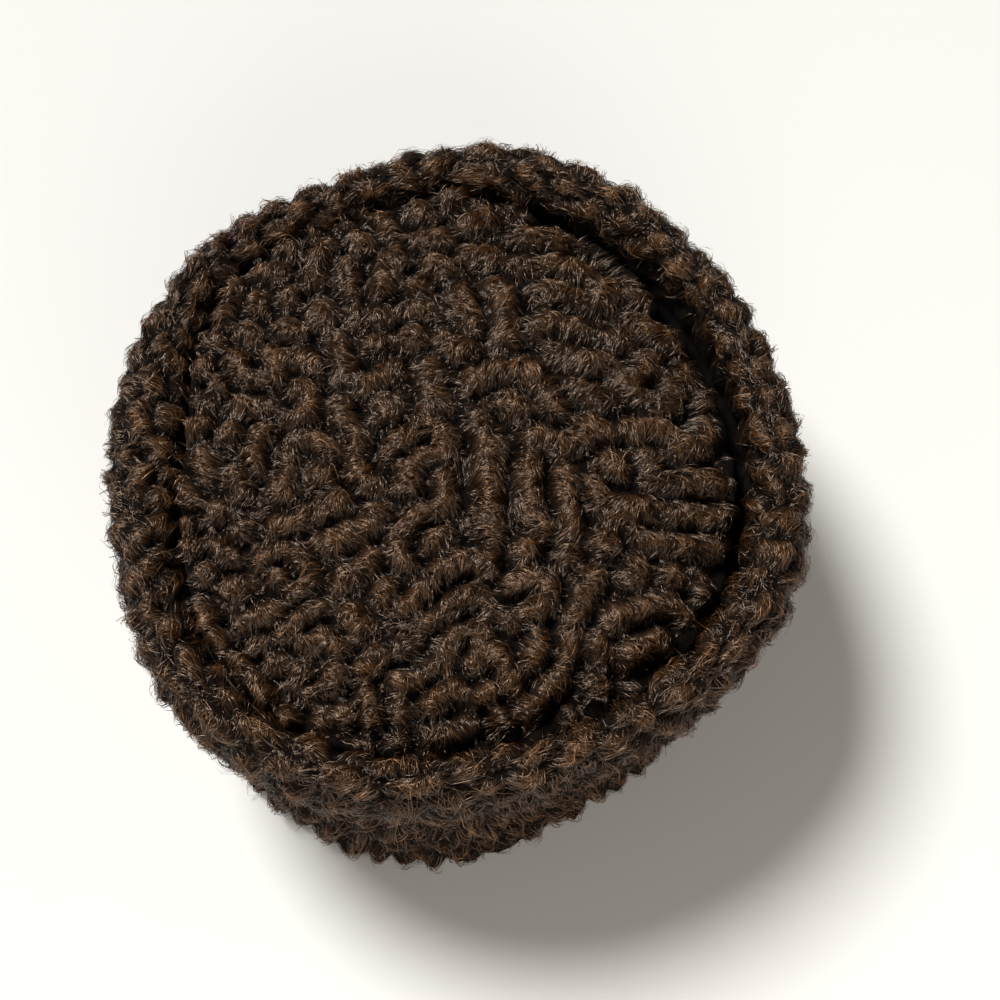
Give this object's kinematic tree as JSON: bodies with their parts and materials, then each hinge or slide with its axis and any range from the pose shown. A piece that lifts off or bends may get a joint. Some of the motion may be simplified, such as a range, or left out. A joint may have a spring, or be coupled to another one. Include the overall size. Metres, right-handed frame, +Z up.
{
  "type": "persian lamb hat",
  "caption": "Brimless hat of dark brown curled lamb fur: a slightly domed crown disc sunk inside a thick rolled cuff round a plain side band.",
  "frame": {"origin": "on the table, under the middle of the hat's outline", "axes": "+Z up out of the crown, -Y towards the hat's front, +X across it"},
  "size_m": [0.2196, 0.242, 0.0918],
  "materials": {
    "band_fur": "matt curled lamb fur, dark brown",
    "cuff_fur": "softly glossy curled lamb fur, dark brown",
    "crown_fur": "softly glossy curled lamb fur, dark brown"
  },
  "bodies": {
    "root": {"side_band": "band_fur", "rolled_cuff": "cuff_fur", "crown_tip": "crown_fur"}
  },
  "joints": []
}
